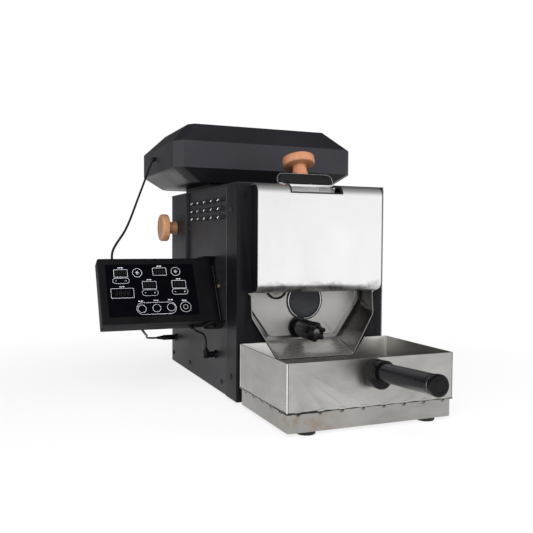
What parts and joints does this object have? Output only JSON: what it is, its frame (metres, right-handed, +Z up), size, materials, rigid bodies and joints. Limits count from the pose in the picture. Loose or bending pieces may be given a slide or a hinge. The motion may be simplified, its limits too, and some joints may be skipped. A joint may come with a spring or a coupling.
{
  "type": "home coffee bean roaster",
  "caption": "Home coffee bean roaster with a drum, hinged inlet lid, discharge door, pull-out cooling tray, exhaust hood and swivelling control panel.",
  "frame": {"origin": "middle of the footprint of everything but the cables, on the worktop under the rubber pads", "axes": "+Z up, +Y from the front with the cooling tray to the back with the mains inlet, +X to the right seen from the front"},
  "size_m": [0.3858, 0.6148, 0.36],
  "materials": {
    "dark_paint": "satin powder coat, nearly black",
    "hood_paint": "satin powder coat, nearly black",
    "brushed_stainless": "brushed stainless sheet",
    "tray_stainless": "brushed stainless sheet with a faint warm tint",
    "inner_steel": "plain mill-finish steel",
    "turned_wood": "clear-varnished turned beech",
    "black_plastic": "moulded, fine texture",
    "grip_plastic": "semi-gloss moulding",
    "panel_plastic": "semi-gloss moulding",
    "panel_glass": "polished black pane",
    "clear_glass": "borosilicate sight glass",
    "black_rubber": "moulded rubber",
    "cable_jacket": "smooth flexible jacket",
    "zinc_screws": "bright zinc plate",
    "knob_metal": "turned, satin",
    "mineral_wool": "pressed mineral wool",
    "filter_fleece": "pleated filter fleece in a card frame",
    "motor_case": "grey paint",
    "board_green": "coated circuit board",
    "fan_plastic": "moulded fan plastic"
  },
  "bodies": {
    "cabinet": {"base_pan": "dark_paint", "cabinet_pads": "black_rubber", "front_frame": "dark_paint", "side_panel_left": "dark_paint", "side_panel_right": "dark_paint", "top_panel": "dark_paint", "rear_panel": "dark_paint", "duct_cover": "dark_paint", "cabinet_screws": "zinc_screws", "front_cover": "brushed_stainless", "cover_cheeks": "dark_paint", "inlet_trim": "black_rubber", "inlet_hopper": "brushed_stainless", "lid_hinge": "brushed_stainless", "discharge_pocket": "brushed_stainless", "drum_face": "inner_steel", "drum_housing": "inner_steel", "insulation_jacket": "mineral_wool", "bearing_bracket": "inner_steel", "heater_tubes": "inner_steel", "drum_motor": "motor_case", "exhaust_duct": "inner_steel", "exhaust_neck": "dark_paint", "hood_tray": "hood_paint", "hood_lid": "hood_paint", "smoke_filter": "filter_fleece", "exhaust_fan_frame": "fan_plastic", "blower_case": "fan_plastic", "power_board": "board_green", "mains_inlet": "black_plastic", "panel_bracket": "dark_paint", "pivot_screws": "zinc_screws", "signal_jacks": "zinc_screws", "cable_plugs": "black_plastic", "cable_hood": "cable_jacket", "cable_rear": "cable_jacket", "cable_side": "cable_jacket"},
    "lid": {"inlet_lid": "brushed_stainless", "lid_knob": "turned_wood", "lid_knob_screw": "zinc_screws"},
    "door": {"drum_door": "brushed_stainless", "sight_ring": "brushed_stainless", "sight_glass": "clear_glass", "probe_port": "brushed_stainless"},
    "latch": {"latch_spindle": "knob_metal", "star_knob": "black_plastic"},
    "drum": {"roasting_drum": "inner_steel"},
    "damper": {"damper_flap": "inner_steel", "damper_knob": "turned_wood"},
    "exhaust_rotor": {"exhaust_fan": "fan_plastic"},
    "blower_rotor": {"blower_wheel": "fan_plastic"},
    "control_panel": {"panel_case": "panel_plastic", "panel_glass": "panel_glass"},
    "tray": {"tray_tub": "tray_stainless", "tray_floor": "tray_stainless", "tray_base": "tray_stainless", "tray_pads": "black_rubber", "handle_mount": "black_plastic", "handle_grip": "grip_plastic", "handle_cap": "black_plastic"}
  },
  "joints": [
    {"name": "lid_hinge", "type": "hinge", "parent": "cabinet", "child": "lid", "pos_m": [0.0494, -0.00817, 0.27], "axis": [-1, 0, 0], "range_deg": [-1.5, 60]},
    {"name": "door_hinge", "type": "hinge", "parent": "cabinet", "child": "door", "pos_m": [0.0494, -0.01977, 0.1525], "axis": [-1, 0, 0], "range_deg": [0, 30]},
    {"name": "latch_turn", "type": "hinge", "parent": "door", "child": "latch", "pos_m": [0.0494, -0.03057, 0.0862], "axis": [0, 1, 0], "range_deg": [0, 90]},
    {"name": "drum_turn", "type": "hinge", "parent": "cabinet", "child": "drum", "pos_m": [0.0494, 0.13943, 0.142], "axis": [0, 1, 0], "continuous": true},
    {"name": "damper_turn", "type": "hinge", "parent": "cabinet", "child": "damper", "pos_m": [-0.0036, 0.21343, 0.214], "axis": [-1, 0, 0], "range_deg": [0, 90]},
    {"name": "exhaust_fan_spin", "type": "hinge", "parent": "cabinet", "child": "exhaust_rotor", "pos_m": [0.0564, 0.19943, 0.305], "axis": [0, 0, 1], "continuous": true},
    {"name": "blower_spin", "type": "hinge", "parent": "cabinet", "child": "blower_rotor", "pos_m": [0.0494, 0.05143, 0.022], "axis": [0, 0, 1], "continuous": true},
    {"name": "panel_swivel", "type": "hinge", "parent": "cabinet", "child": "control_panel", "pos_m": [-0.0566, 0.00463, 0.0913], "axis": [0, 0.4617, 0.887], "range_deg": [-30, 30], "deforming": ["cable_hood", "cable_rear", "cable_side"]},
    {"name": "tray_pull", "type": "slide", "parent": "cabinet", "child": "tray", "axis": [0, -1, 0], "range_m": [0, 0.15]}
  ]
}
